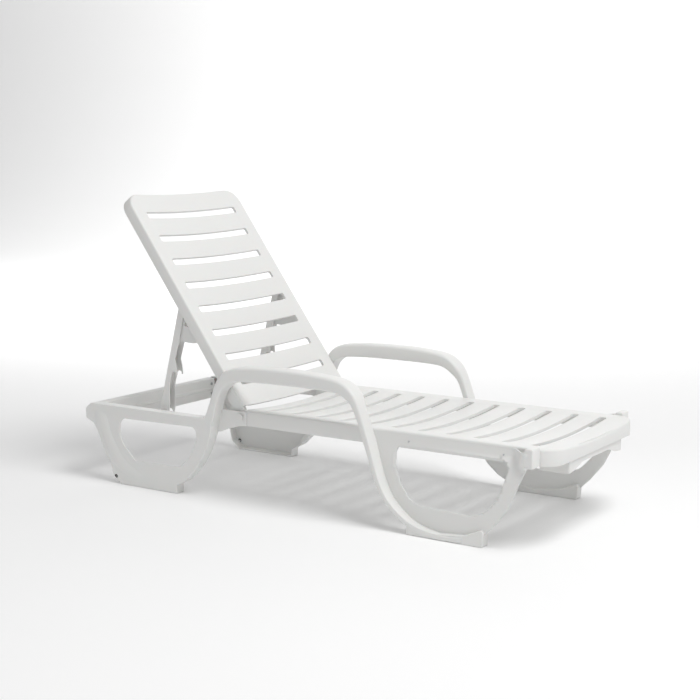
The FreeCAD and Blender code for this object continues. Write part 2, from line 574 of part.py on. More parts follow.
def axle_bush():
    skin = f"({HALF} - S.wall - S.joint_gap)"
    body = round_part("axle_bush_right", "S.axle_station", "S.axle_height",
                      [(skin, HALF, "S.bush_radius"),
                       (f"{skin} - S.bush_flange", skin, "S.bush_flange_radius")])
    bore = add_sketch(body, "bore_outline", "XZ_Plane")
    add_circle(bore, "S.axle_station", "S.axle_height", "S.bush_bore")
    add_pocket(body, "bore", bore)
    station_place(body)
    return body


def screw_shape(point, direction, length):
    """One pan-head screw: the point is under its head, the direction is the way it is driven."""
    head = Part.makeCylinder(size("screw_head_radius"), size("screw_head_height"), point, direction * -1)
    shank = Part.makeCylinder(size("screw_radius"), size(length), point, direction)
    return head.fuse(shank)


def screw_group(name, points, direction, length):
    """Separate identical screws kept together under one name."""
    group = doc.addObject("Part::Feature", name)
    group.Label = name
    group.Shape = Part.makeCompound([screw_shape(point, direction, length) for point in points])
    return group


def seat_screws(side):
    """Driven outwards from inside the seat's skirt into the side frame."""
    inside = size("overall_width") / 2 - size("arm_depth") - 2 * size("joint_gap") - size("wall")
    foot_x = size("raised_length") / 2
    up = size("rim_height") - 28
    return [V(foot_x - back, side * inside, up) for back in (480, 160)], V(0, side, 0), "seat_screw_length"


def beam_screws(side):
    """Driven backwards through the crossbeam's front face into the side frame's tongue."""
    x = size("beam_rear") + size("beam_depth") + size("joint_gap") - size("raised_length") / 2
    y = size("overall_width") / 2 - size("frame_depth") - size("tongue_reach") / 2
    heights = [size("beam_top") - 20, size("beam_top") - size("beam_height") + 20]
    return [V(x, side * y, z) for z in heights], V(-1, 0, 0), "beam_screw_length"


# ---------------------------------------------------------------- the lounger
seat = seat_panel()
backrest = backrest_panel()
prop = prop_frame()
frame_right = side_frame_right()
beam = rear_crossbeam()
rights = [frame_right, pivot_pin(), prop_pin(), rest_stud(), axle_bush()]
pieces = [seat, backrest, prop, beam] + rights
pieces += [mirrored(body, body.Label.replace("_right", "_left")) for body in rights]
for word, side in (("right", -1), ("left", 1)):
    pieces.append(screw_group(f"seat_screws_{word}", *seat_screws(side)))
    pieces.append(screw_group(f"beam_screws_{word}", *beam_screws(side)))
doc.recompute()

for thing in doc.Objects:
    if "Invalid" in thing.State or "Error" in thing.State:
        raise RuntimeError(f"{thing.Label} did not build")
for piece in pieces:
    if piece.Shape.isNull() or not piece.Shape.isValid():
        raise RuntimeError(f"{piece.Label} has no sound solid")
    piece.Shape.exportStep(os.path.join("parts", f"{piece.Label}.step"))
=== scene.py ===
import json
import math

import bmesh
import bpy
from mathutils import Matrix, Vector


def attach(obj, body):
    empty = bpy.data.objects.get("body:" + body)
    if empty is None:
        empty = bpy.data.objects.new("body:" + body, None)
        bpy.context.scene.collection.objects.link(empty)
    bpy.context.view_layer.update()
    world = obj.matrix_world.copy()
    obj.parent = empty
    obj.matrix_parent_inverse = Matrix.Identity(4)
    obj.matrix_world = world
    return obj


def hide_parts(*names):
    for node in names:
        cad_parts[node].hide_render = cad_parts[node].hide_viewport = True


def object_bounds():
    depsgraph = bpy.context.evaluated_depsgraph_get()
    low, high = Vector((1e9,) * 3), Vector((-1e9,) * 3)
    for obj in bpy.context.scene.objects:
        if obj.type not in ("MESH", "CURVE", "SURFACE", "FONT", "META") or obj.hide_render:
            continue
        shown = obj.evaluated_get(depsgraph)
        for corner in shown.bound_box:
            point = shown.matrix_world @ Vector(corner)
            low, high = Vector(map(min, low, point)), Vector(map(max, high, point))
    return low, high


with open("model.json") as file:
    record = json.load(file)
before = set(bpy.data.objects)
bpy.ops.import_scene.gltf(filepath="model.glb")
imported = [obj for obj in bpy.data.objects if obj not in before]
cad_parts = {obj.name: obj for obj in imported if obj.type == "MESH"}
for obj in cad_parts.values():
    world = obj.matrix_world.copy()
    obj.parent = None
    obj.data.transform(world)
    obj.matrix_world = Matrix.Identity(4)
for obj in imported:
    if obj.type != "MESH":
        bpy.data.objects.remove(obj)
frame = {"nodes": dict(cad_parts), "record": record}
frame_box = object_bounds()

MM = 0.001
REAR = frame_box[0][0]              # rear tip of the side frames
FOOT = frame_box[1][0]              # foot end of the seat
HALF = frame_box[1][1]              # outer face of the side frames
HINGE_X = FOOT - 1.117              # backrest pivot
HINGE_Z = 0.281
RECLINE = math.radians(54)
PROP_X, PROP_Z = -0.4984, 0.6331    # prop pivot on the backrest
PROP_LEAN = math.radians(12.2)


# ---------------------------------------------------------------- small curve helpers
def station(mm):
    """Metres along X from millimetres measured from the rear tip."""
    return REAR + mm * MM


def from_foot(mm):
    return FOOT - mm * MM


def middle(mm):
    """Metres along X from millimetres measured from the design's middle line."""
    return mm * MM - 0.0245


def smooth(points, count):
    """A Catmull-Rom curve through the points, cut into even steps."""
    n = len(points)
    fine = []
    for k in range(n - 1):
        a = points[max(k - 1, 0)]
        b, c = points[k], points[k + 1]
        d = points[min(k + 2, n - 1)]
        for j in range(16):
            t = j / 16
            fine.append(tuple(0.5 * (2 * b[i] + (c[i] - a[i]) * t
                                     + (2 * a[i] - 5 * b[i] + 4 * c[i] - d[i]) * t * t
                                     + (3 * b[i] - a[i] - 3 * c[i] + d[i]) * t ** 3)
                              for i in range(len(b))))
    fine.append(points[-1])
    run = [0.0]
    for p, q in zip(fine, fine[1:]):
        run.append(run[-1] + math.dist(p, q))
    out, k = [], 0
    for j in range(count):
        want = run[-1] * j / (count - 1)
        while k < len(run) - 2 and run[k + 1] < want:
            k += 1
        span = run[k + 1] - run[k] or 1
        t = (want - run[k]) / span
        out.append(tuple(p + (q - p) * t for p, q in zip(fine[k], fine[k + 1])))
    return out


def rounded(corners, steps=6):
    """A closed outline of (x, z, radius) corners with each corner turned to an arc."""
    out, n = [], len(corners)
    for k, (x, z, r) in enumerate(corners):
        here = Vector((x, z))
        back = Vector(corners[k - 1][:2]) - here
        on = Vector(corners[(k + 1) % n][:2]) - here
        angle = back.angle(on)
        if r <= 0 or abs(angle - math.pi) < 0.02:
            out.append((x, z))
            continue
        reach = min(r / math.tan(angle / 2), back.length * 0.49, on.length * 0.49)
        r = reach * math.tan(angle / 2)
        start, end = here + back.normalized() * reach, here + on.normalized() * reach
        centre = here + (back.normalized() + on.normalized()).normalized() * (r / math.sin(angle / 2))
        a0 = math.atan2(start.y - centre.y, start.x - centre.x)
        turn = math.atan2(end.y - centre.y, end.x - centre.x) - a0
        turn = (turn + math.pi) % (2 * math.pi) - math.pi
        for j in range(steps + 1):
            a = a0 + turn * j / steps
            out.append((centre.x + r * math.cos(a), centre.y + r * math.sin(a)))
    return out


def signed_area(outline):
    return sum(a[0] * b[1] - b[0] * a[1] for a, b in zip(outline, outline[1:] + outline[:1])) / 2


def inset(outline, depth):
    """The outline moved inwards by an even depth."""
    n = len(outline)
    turn = 1 if signed_area(outline) > 0 else -1
    out = []
    for k in range(n):
        a, b, c = outline[k - 1], outline[k], outline[(k + 1) % n]
        u = Vector((b[0] - a[0], b[1] - a[1])).normalized()
        v = Vector((c[0] - b[0], c[1] - b[1])).normalized()
        way = u + v
        way = way.normalized() if way.length > 1e-6 else u
        side = Vector((-way.y, way.x)) * turn
        stretch = 1 / max(0.5, abs(side.dot(Vector((-u.y, u.x)))))
        out.append((b[0] + side.x * depth * stretch, b[1] + side.y * depth * stretch))
    return out


# ---------------------------------------------------------------- meshes
def new_mesh(name, points, faces):
    mesh = bpy.data.meshes.new(name)
    mesh.from_pydata([tuple(p) for p in points], [], faces)
    mesh.validate()
    obj = bpy.data.objects.new(name, mesh)
    bpy.context.collection.objects.link(obj)
    for face in mesh.polygons:
        face.use_smooth = True
    return obj


def plate(name, outlines, near, far, edge):
    """A flat plate across Y between near and far, from (x, z) outlines, with softly rounded edges."""
    curve = bpy.data.curves.new(name, "CURVE")
    curve.dimensions = "2D"
    curve.fill_mode = "BOTH"
    curve.extrude = abs(far - near) / 2 - edge
    curve.bevel_depth = edge
    curve.bevel_resolution = 3
    curve.offset = -edge
    for outline in outlines:
        spline = curve.splines.new("POLY")
        spline.points.add(len(outline) - 1)
        for point, (x, z) in zip(spline.points, outline):
            point.co = (x, z, 0, 1)
        spline.use_cyclic_u = True
    holder = bpy.data.objects.new(name, curve)
    bpy.context.collection.objects.link(holder)
    depsgraph = bpy.context.evaluated_depsgraph_get()
    mesh = bpy.data.meshes.new_from_object(holder.evaluated_get(depsgraph))
    bpy.data.objects.remove(holder)
    middle_y = (near + far) / 2
    mesh.transform(Matrix(((1, 0, 0, 0), (0, 0, -1, middle_y), (0, 1, 0, 0), (0, 0, 0, 1))))
    obj = bpy.data.objects.new(name, mesh)
    bpy.context.collection.objects.link(obj)
    for face in mesh.polygons:
        face.use_smooth = True
    return obj


def band(name, over, under, near, far, edge, crown=0.0):
    """A bar that follows two matched edge lines in XZ, from near to far in Y, with rounded edges.

    near and far are a number or one number for each step; crown lifts the middle of the outer face."""
    count = len(over)
    near = near if isinstance(near, list) else [near] * count
    far = far if isinstance(far, list) else [far] * count
    points, faces = [], []
    for k in range(count):
        o, u = Vector(over[k]), Vector(under[k])
        width, depth = (o - u).length, abs(far[k] - near[k])
        way = (o - u).normalized()
        sign = 1 if far[k] > near[k] else -1
        r = min(edge[k] if isinstance(edge, list) else edge, width * 0.48, depth * 0.48)
        section = []
        for w, v, start in ((width - r, depth - r, 0), (r, depth - r, 90), (r, r, 180), (width - r, r, 270)):
            for j in range(5):
                a = math.radians(start + 22.5 * j)
                section.append((w + r * math.cos(a), v + r * math.sin(a)))
        section += [(width, r + (depth - 2 * r) * t) for t in (0.25, 0.5, 0.75)]
        ring = len(section)
        for w, v in section:
            share = min(1, max(0, v / depth))
            lift = crown * 4 * share * (1 - share) if w > width / 2 else 0
            at = u + way * (w + lift)
            points.append((at.x, near[k] + sign * v, at.y))
    for k in range(count - 1):
        for j in range(ring):
            a, b = k * ring + j, k * ring + (j + 1) % ring
            c, d = (k + 1) * ring + (j + 1) % ring, (k + 1) * ring + j
            faces.append((a, b, c, d))
    faces.append(tuple(range(ring)))
    faces.append(tuple(range(count * ring - ring, count * ring))[::-1])
    obj = new_mesh(name, points, faces)
    face_out(obj)
    return obj


def face_out(obj):
    """Turns every face outwards."""
    work = bmesh.new()
    work.from_mesh(obj.data)
    bmesh.ops.recalc_face_normals(work, faces=work.faces)
    work.to_mesh(obj.data)
    work.free()


def join(name, objects):
    """One piece from several meshes that are moulded together."""
    work = bmesh.new()
    for obj in objects:
        obj.data.transform(obj.matrix_world)
        work.from_mesh(obj.data)
        bpy.data.objects.remove(obj)
    mesh = bpy.data.meshes.new(name)
    work.to_mesh(mesh)
    work.free()
    for face in mesh.polygons:
        face.use_smooth = True
    whole = bpy.data.objects.new(name, mesh)
    bpy.context.collection.objects.link(whole)
    return whole


def shear(obj, rule):
    """Moves each point across Y by a rule of its place along X and Z."""
    for point in obj.data.vertices:
        point.co.y += rule(point.co.x, point.co.z)
    return obj


def other_side(obj, name):
    """The mirror image on the lounger's left."""
    mesh = obj.data.copy()
    mesh.transform(Matrix.Diagonal((1, -1, 1, 1)))
    mesh.flip_normals()
    twin = bpy.data.objects.new(name, mesh)
    bpy.context.collection.objects.link(twin)
    return twin


# ---------------------------------------------------------------- side frame
def panel_y(x, z=0.0):
    """How far the front leg's panel stands in from the frame's outer face.

    It is deep at the arm and under the seat's rim, and comes out flush at the lug and the foot."""
    share = min(1, max(0, (x - middle(307)) / (middle(830) - middle(307))))
    high = min(1, max(0, (z - 0.200) / 0.085))
    high = high * high * (3 - 2 * high)
    by_lug = min(1, max(0, (x - middle(775)) / (middle(832) - middle(775))))
    by_lug = by_lug * by_lug * (3 - 2 * by_lug)
    return 0.0475 * (1 - share * (1 - high)) * (1 - by_lug * high)


ARM = [(-411, 64, -405, 56), (-390, 98, -371, 89), (-364, 146, -338, 138), (-350, 190, -317, 184),
       (-340, 228, -306, 218), (-330, 266, -299, 250), (-319, 290, -289, 280), (-308, 318, -280, 312),
       (-296, 353, -268, 345), (-283, 388, -253, 372), (-264, 416, -237, 387), (-239, 435, -219, 396),
       (-205, 446, -198, 402), (-150, 452, -148, 406), (-96, 455, -96, 408), (-20, 456, -20, 409),
       (60, 455, 60, 409), (130, 451, 126, 408), (180, 446, 172, 406), (207, 440, 197, 402),
       (231, 428, 217, 394),
       (251, 411, 234, 382), (267, 388, 248, 367), (282, 352, 262, 341), (295, 314, 275, 309),
       (307, 279, 288, 273),
       (317, 248, 300, 243), (331, 204, 315, 199), (349, 152, 334, 147), (373, 107, 361, 99),
       (404, 74, 396, 64),
       (445, 45, 440, 32), (482, 29, 478, 13), (532, 19, 531, 3), (584, 15, 584, 1), (640, 20, 636, 6)]


ARM_REAR_END = middle(-200)         # ahead of this the arm no longer overlaps the rear leg's face
FACE_PROUD = 0.0003                 # the face clears the stud's end, so that no two faces lie in one plane
ROLL_RISE = 0.0065


def armrest():
    steps = smooth([(middle(a), b * MM, middle(c), d * MM) for a, b, c, d in ARM], 190)
    over = [(p[0], p[1]) for p in steps]
    under = [(p[2], p[3]) for p in steps]
    near, far, edge = [], [], []
    for k, (x, z) in enumerate(over):
        edge.append(0.0028 + 0.0052 * min(1, max(0, (z - 0.27) / 0.12)))
        widen = min(1, max(0, (z - 0.36) / 0.06))
        widen = widen * widen * (3 - 2 * widen)
        rise = min(1, max(0, (z - 0.225) / 0.045))
        set_back = 0.0032 * (1 - rise * rise * (3 - 2 * rise))
        near.append(-HALF + (set_back if x < ARM_REAR_END else 0))
        lower = min(1, max(0, (z - 0.06) / 0.18))
        inner = -HALF + 0.038 + 0.010 * lower + 0.012 * widen
        if x > middle(307):
            inner = -HALF + max(0.010, panel_y(x) + 0.002)
        far.append(inner)
    return band("armrest", over, under, near, far, edge, crown=0.0015)


def circle(x, z, radius, count=32):
    return [(x + radius * math.cos(2 * math.pi * k / count), z + radius * math.sin(2 * math.pi * k / count))
            for k in range(count)]


BUSH = circle(station(136), 0.025, 0.0061)


def rear_leg():
    outer = rounded([(middle(x), z * MM, r * MM) for x, z, r in
                     ((-300, 271, 6), (-833, 271, 18), (-858, 251, 10), (-857, 216, 9), (-822, 201, 12),
                      (-804, 174, 40),
                      (-770, 101, 60), (-746, 72, 20), (-736, 28, 12), (-700, 0, 8), (-450, 0, 3),
                      (-450, 30, 8), (-411, 50, 40), (-362, 98, 60), (-330, 150, 60), (-306, 206, 40),
                      (-300, 240, 20))], 8)
    hole = rounded([(middle(x), z * MM, r * MM) for x, z, r in
                    ((-702, 170, 40), (-697, 231, 26), (-366, 236, 36), (-360, 196, 30), (-384, 142, 90),
                     (-430, 93, 50), (-632, 90, 14), (-684, 140, 90))], 10)
    face = plate("rear_leg_face", [outer, hole, BUSH], -HALF - FACE_PROUD, -HALF + 0.006, 0.0022)
    inner = inset(outer, 0.005)
    flange = plate("rear_leg_flange", [outer, inner], -HALF + 0.003, -HALF + 0.038, 0.0015)
    return [face, flange]


ROLL = [(-829, 266, -758, 266), (-827, 240, -752, 240), (-816, 205, -744, 212), (-801, 172, -734, 180),
        (-783, 130, -716, 146), (-765, 94, -690, 110), (-738, 62, -656, 80), (-700, 38, -612, 60),
        (-650, 20, -572, 47), (-600, 11, -538, 38), (-556, 8, -512, 30)]


def rear_roll():
    """The soft swelling of the rear leg's face, which runs down its rear edge and dies out in the foot."""
    rows = smooth([(middle(a), b * MM, middle(c), d * MM) for a, b, c, d in ROLL], 70)
    across, points, faces = 16, [], []
    for k, (over_x, over_z, under_x, under_z) in enumerate(rows):
        along = k / (len(rows) - 1)
        fade = min(1, along / 0.12) * min(1, (1 - along) / 0.4)
        rise = ROLL_RISE * fade * fade * (3 - 2 * fade)
        for j in range(across + 1):
            t = j / across
            y = -HALF + 0.0018 - rise * math.sin(math.pi * t)
            points.append((over_x + (under_x - over_x) * t, y, over_z + (under_z - over_z) * t))
        points.append((under_x, -HALF + 0.004, under_z))
        points.append((over_x, -HALF + 0.004, over_z))
    ring = across + 3
    for k in range(len(rows) - 1):
        for j in range(ring):
            a, b = k * ring + j, k * ring + (j + 1) % ring
            faces.append((a, b, b + ring, a + ring))
    faces.append(tuple(range(ring)))
    faces.append(tuple(range(len(rows) * ring - ring, len(rows) * ring))[::-1])
    obj = new_mesh("rear_roll", points, faces)
    face_out(obj)
    return [obj]


def front_leg():
    outer = rounded([(middle(x), z * MM, r * MM) for x, z, r in
                     ((288, 297.5, 4), (294, 262, 20), (308, 222, 60), (327, 176, 80), (348, 128, 80),
                      (376, 84, 60),
                      (416, 48, 60), (470, 20, 60), (540, 7, 80), (640, 6, 80), (700, 30, 60), (738, 68, 60),
                      (783, 124, 90), (806, 172, 90), (824, 220, 40), (834, 246, 10), (846, 254, 4),
                      (846, 297.5, 4))], 8)
    hole = rounded([(middle(x), z * MM, r * MM) for x, z, r in
                    ((385, 263, 28), (383, 196, 60), (402, 146, 80), (440, 96, 60), (485, 85, 30),
                     (662, 86, 30),
                     (704, 102, 60), (750, 152, 80), (772, 212, 40), (775, 236, 14), (746, 263, 14))], 10)
    skin = divided("front_leg_face", [outer, hole], 0.012)
    wall = skin.modifiers.new("wall", "SOLIDIFY")
    wall.thickness = 0.006
    wall.offset = 0
    return [shear(baked(skin), lambda x, z: panel_y(x, z) - HALF + 0.0032)]


def divided(name, outlines, step):
    """A flat sheet in XZ from outlines, cut into a grid so that it can be curved."""
    sheet = plate(name, outlines, -0.001, 0.001, 0.0001)
    work = bmesh.new()
    work.from_mesh(sheet.data)
    doomed = [f for f in work.faces if f.normal.y > -0.5]
    bmesh.ops.delete(work, geom=doomed, context="FACES")
    low = min(v.co.x for v in work.verts)
    high = max(v.co.x for v in work.verts)
    top = max(v.co.z for v in work.verts)
    for axis, start, end in ((0, low, high), (2, 0.01, top)):
        for k in range(1, int((end - start) / step)):
            at, way = [0, 0, 0], [0, 0, 0]
            at[axis], way[axis] = start + k * step, 1
            bmesh.ops.bisect_plane(work, geom=work.verts[:] + work.edges[:] + work.faces[:],
                                   plane_co=at, plane_no=way)
    for v in work.verts:
        v.co.y = 0
    work.to_mesh(sheet.data)
    work.free()
    return sheet


def baked(obj):
    """The object with its modifiers made real."""
    depsgraph = bpy.context.evaluated_depsgraph_get()
    mesh = bpy.data.meshes.new_from_object(obj.evaluated_get(depsgraph))
    name = obj.name
    bpy.data.objects.remove(obj)
    done = bpy.data.objects.new(name, mesh)
    bpy.context.collection.objects.link(done)
    for face in mesh.polygons:
        face.use_smooth = True
    return done


def feet():
    front = rounded([(middle(x), z * MM, r * MM) for x, z, r in
                     ((446, 0, 2.5), (703, 0, 3), (706, 40, 3), (700, 52, 6), (640, 26, 60),
                      (540, 16, 60), (446, 34, 4))],
                    5)
    return [plate("front_foot", [front], -HALF + 0.0022, -HALF + 0.038, 0.0022)]


def front_lug():
    lug = rounded([(middle(x), z * MM, r * MM) for x, z, r in
                   ((829, 253, 3), (861, 253, 4), (861, 311, 6), (838, 311, 7), (829, 298, 4))], 5)
    return [plate("front_lug", [lug], -HALF + 0.001, -HALF + 0.050, 0.004)]


def pivot_plate():
    """The web between the armrest's rear leg and the seat, leaning in until it meets the seat's skirt."""
    shape = rounded([(middle(x), z * MM, r * MM) for x, z, r in
                     ((-326, 222, 4), (-290, 224, 20), (-262, 236, 30), (-215, 250, 20), (-188, 253, 2),
                      (-188, 299, 2),
                      (-300, 300, 4))], 6)
    web = plate("pivot_plate", [shape], -HALF + 0.0405, -HALF + 0.046, 0.0012)
    lean = 0.0062 / (middle(-188) - middle(-326))
    return [shear(web, lambda x, z: lean * (x - middle(-326)) - 0.001)]


def tongue():
    shape = rounded([(middle(x), z * MM, 3 * MM) for x,
                     z in ((-846, 196), (-826, 196), (-826, 260), (-846, 260))], 4)
    hollow = inset(shape, 0.005)
    return [plate("tongue", [shape, hollow], -HALF + 0.034, -HALF + 0.082, 0.001)]


frame_right = join("side_frame_right_moulding",
                   [armrest()] + rear_leg() + rear_roll() + front_leg() + feet() + front_lug()
                   + pivot_plate() + tongue())
frame_left = other_side(frame_right, "side_frame_left_moulding")


# ---------------------------------------------------------------- slatted panels
def slatted_panel(name, half, rim, dish, skirt, start, end, corner, slots, slot_gap, reach, edge=0.0065):
    """A dished slatted deck with soft rims and a skirt, lying flat with its rounded end along +X."""
    rows = [start]
    for centre in slots:
        rows += [centre - slot_gap / 2, centre - slot_gap / 2 + 0.004, centre + slot_gap / 2 - 0.004,
                 centre + slot_gap / 2]
    rows.append(end - corner - 0.002)
    for k in range(1, 13):
        rows.append(end - corner + corner * math.sin(k * math.pi / 24))
    rows = sorted(r for r in rows if r <= end - edge) + [end - edge]
    flat = half - edge
    columns = [0.0]
    deck = reach - 0.004
    for k in range(1, 17):
        columns.append(deck * k / 16)
    columns += [reach, half - 0.024, half - 0.014, flat]
    columns = [-c for c in columns[:0:-1]] + columns
    points, index = [], {}

    def half_at(x):
        over = x - (end - corner)
        if over <= 0:
            return flat
        r = corner - edge
        over = min(over, r)
        return flat - corner + edge + math.sqrt(max(0, r * r - over * over))

    def sink(y):
        share = min(1, abs(y) / (half - 0.024))
        return dish * (1 - share * share)

    for i, x in enumerate(rows):
        squeeze = half_at(x) / flat
        for j, y in enumerate(columns):
            at = y * squeeze
            index[i, j] = len(points)
            points.append((x, at, rim - sink(at)))
    faces = []
    for i in range(len(rows) - 1):
        mid = (rows[i] + rows[i + 1]) / 2
        open_row = any(abs(mid - centre) < slot_gap / 2 for centre in slots)
        for j in range(len(columns) - 1):
            across = abs(columns[j] + columns[j + 1]) / 2
            if open_row and across < reach:
                nibble = across > deck and abs(rows[i + 1] - rows[i]) < 0.0045
                if not nibble:
                    continue
                lo_x = (rows[i] if any(abs(rows[i] - (c - slot_gap / 2)) < 1e-6 for c in slots)
                        else rows[i + 1])
                corner_i, other_i = (i, i + 1) if lo_x == rows[i] else (i + 1, i)
                out_j, in_j = (j + 1, j) if columns[j] > 0 else (j, j + 1)
                tri = (index[corner_i, out_j], index[corner_i, in_j], index[other_i, out_j])
                faces.append(tri)
                continue
            faces.append((index[i, j], index[i + 1, j], index[i + 1, j + 1], index[i, j + 1]))
    # the border rolls over a soft edge and runs down as the skirt
    border = [index[i, 0] for i in range(len(rows))]
    border += [index[len(rows) - 1, j] for j in range(1, len(columns))]
    border += [index[i, len(columns) - 1] for i in range(len(rows) - 2, -1, -1)]
    ways = []
    for k, p in enumerate(border):
        a = Vector(points[border[max(k - 1, 0)]][:2])
        b = Vector(points[border[min(k + 1, len(border) - 1)]][:2])
        run = (b - a).normalized()
        ways.append((run.y, -run.x))
    before = border
    for turn in (22.5, 45, 67.5, 90):
        out = edge * math.sin(math.radians(turn))
        down = edge * (1 - math.cos(math.radians(turn)))
        ring = []
        for p, way in zip(border, ways):
            x, y, z = points[p]
            ring.append(len(points))
            points.append((x + way[0] * out, y + way[1] * out, z - down))
        for k in range(len(ring) - 1):
            faces.append((before[k], before[k + 1], ring[k + 1], ring[k]))
        before = ring
    for depth in (0.5, 1.0):
        ring = []
        for p, way in zip(border, ways):
            x, y, z = points[p]
            ring.append(len(points))
            points.append((x + way[0] * edge, y + way[1] * edge, rim - edge - (skirt - edge) * depth))
        for k in range(len(ring) - 1):
            faces.append((before[k], before[k + 1], ring[k + 1], ring[k]))
        before = ring
    obj = new_mesh(name, points, faces)
    face_out(obj)
    # the slats are thicker than the rim and skirt
    thick = obj.vertex_groups.new(name="slats")
    for j, y in enumerate(columns):
        share = 1.0 if abs(y) <= reach else 0.55
        thick.add([index[i, j] for i in range(len(rows))], share, "REPLACE")
    thick.add(list(range(len(rows) * len(columns), len(points))), 0.5, "REPLACE")
    solid = obj.modifiers.new("wall", "SOLIDIFY")
    solid.thickness = 0.0095
    solid.offset = -1
    solid.vertex_group = thick.name
    soft = obj.modifiers.new("soft_edges", "BEVEL")
    soft.width = 0.0016
    soft.segments = 3
    soft.limit_method = "ANGLE"
    soft.angle_limit = math.radians(50)
    soft.harden_normals = False
    depsgraph = bpy.context.evaluated_depsgraph_get()
    mesh = bpy.data.meshes.new_from_object(obj.evaluated_get(depsgraph))
    bpy.data.objects.remove(obj)
    obj = bpy.data.objects.new(name, mesh)
    bpy.context.collection.objects.link(obj)
    for face in mesh.polygons:
        face.use_smooth = True
    return obj


seat_start = from_foot(1106)
seat_slots = [middle(-135 + 95.2 * k) for k in range(11)]
seat_deck = slatted_panel("seat_deck", 0.3012, 0.303, 0.015, 0.050, seat_start, FOOT, 0.062, seat_slots,
                          0.025, 0.250)


def seat_ears():
    parts = []
    for side in (-1, 1):
        shape = rounded([(middle(x), z * MM, r * MM) for x, z, r in
                         ((-190, 299, 4), (-216, 299, 10), (-236, 286, 14), (-236, 262, 10), (-222, 253, 8),
                          (-190, 253, 4))], 6)
        parts.append(plate("seat_ear", [shape], side * 0.2945, side * 0.2988, 0.0015))
    return parts


def foot_ribs():
    parts = []
    for y in (-0.1925, 0.1875):
        shape = rounded([(from_foot(106), 0.290, 0), (from_foot(98), 0.215, 0.006),
                         (from_foot(5), 0.215, 0.004),
                         (from_foot(5), 0.290, 0)], 4)
        parts.append(plate("foot_rib", [shape], y, y + 0.005, 0.001))
    return parts


def foot_arch():
    shape = rounded([(y * MM, z * MM, r * MM) for y, z, r in
                     ((-190, 291, 0), (-190, 215, 3), (-150, 219, 40), (-95, 235, 60), (95, 235, 60),
                      (150, 219, 40),
                      (190, 215, 3), (190, 291, 0))], 6)
    arch = plate("foot_arch", [shape], 0.0, 0.005, 0.001)
    arch.data.transform(Matrix(((0, 1, 0, from_foot(10)), (1, 0, 0, 0), (0, 0, 1, 0), (0, 0, 0, 1))))
    arch.data.flip_normals()
    return [arch]


seat_moulding = join("seat_moulding", [seat_deck] + seat_ears() + foot_ribs() + foot_arch())


# ---------------------------------------------------------------- backrest
back_slots = [(114.5 + 94.5 * k) * MM for k in range(8)]
back_deck = slatted_panel("back_deck", 0.2957, 0.023, 0.015, 0.040, 0.026, 0.864, 0.058, back_slots,
                          0.026, 0.240)


def back_ears():
    parts = []
    for side in (-1, 1):
        shape = rounded([(x * MM, z * MM, r * MM) for x, z, r in
                         ((-9, 18, 12), (-20, 4, 10), (-18, -12, 10), (-4, -17, 10), (60, -17, 4),
                          (60, 17, 4),
                          (26, 18, 4))], 6)
        parts.append(plate("back_ear", [shape], side * 0.2885, side * 0.2955, 0.0015))
        rib = rounded([(x * MM, z * MM, r * MM) for x, z, r in
                       ((300, 19, 0), (300, -33, 6), (309, -51, 10), (344, -94, 9), (372, -92, 9),
                        (385, -62, 10),
                        (400, -45, 8), (440, -20, 14), (456, -8, 10), (456, 19, 0), (405, 19, 0),
                        (402, -8, 6),
                        (393, -32, 6), (379, -49, 6), (345, -17, 6), (345, 19, 0))], 5)
        parts.append(plate("prop_rib", [rib], side * 0.2636, side * 0.2734, 0.0012))
    return parts


back_turn = Matrix.Rotation(RECLINE, 4, "Y") @ Matrix.Rotation(math.pi, 4, "Z")
back_place = Matrix.Translation((HINGE_X, 0, HINGE_Z)) @ back_turn
back_moulding = join("back_moulding", [back_deck] + back_ears())
back_moulding.data.transform(back_place)


# ---------------------------------------------------------------- prop
def prop_legs():
    parts = []
    leg = rounded([(x * MM, z * MM, r * MM) for x, z, r in
                   ((-13, 8, 10), (-4, 17, 10), (8, 17, 9), (15, 6, 8), (14, -60, 0), (13, -128, 10),
                    (7, -194, 14),
                    (18, -217, 12), (27, -244, 3), (23, -246.4, 2), (20, -238, 4), (13, -235.6, 6),
                    (5.5, -239, 4),
                    (2, -247, 4), (0, -286, 20), (9, -330, 20), (15, -366, 8), (17, -389, 3), (10, -389.8, 2),
                    (7.5, -380, 5), (0, -376.2, 7), (-7.5, -380, 5), (-10, -389.8, 2), (-20, -389.8, 3),
                    (-23, -366, 6), (-11, -18, 10))], 5)
    web = cut(leg, -0.152)
    rear = [p for p in web if p[0] < -0.008]
    rear_low, rear_high = min(rear, key=lambda p: p[1]), max(rear, key=lambda p: p[1])
    strip = [rear_high, rear_low, (rear_low[0] + 0.005, rear_low[1]), (rear_high[0] + 0.006, rear_high[1])]
    for side in (-1, 1):
        parts.append(plate("outer_cheek", [leg], side * 0.2748, side * 0.2797, 0.0014))
        parts.append(plate("inner_cheek", [leg], side * 0.2465, side * 0.2508, 0.0014))
        parts.append(plate("rear_web", [strip], side * 0.248, side * 0.278, 0.0008))
    return parts


def cut(outline, z):
    """The part of an outline below a height."""
    out, n = [], len(outline)
    for k in range(n):
        a, b = outline[k], outline[(k + 1) % n]
        if a[1] <= z:
            out.append(a)
        if (a[1] <= z) != (b[1] <= z):
            t = (z - a[1]) / (b[1] - a[1])
            out.append((a[0] + (b[0] - a[0]) * t, z))
    return out


def prop_bar():
    ring = [(-0.001 + 0.009 * math.cos(k * math.pi / 16), -0.088 + 0.009 * math.sin(k * math.pi / 16))
            for k in range(32)]
    return [plate("bar", [ring], -0.255, 0.255, 0.001)]


prop_moulding = join("prop_moulding", prop_legs() + prop_bar())
prop_moulding.data.transform(Matrix.Translation((PROP_X, 0, PROP_Z)) @ Matrix.Rotation(PROP_LEAN, 4, "Y"))


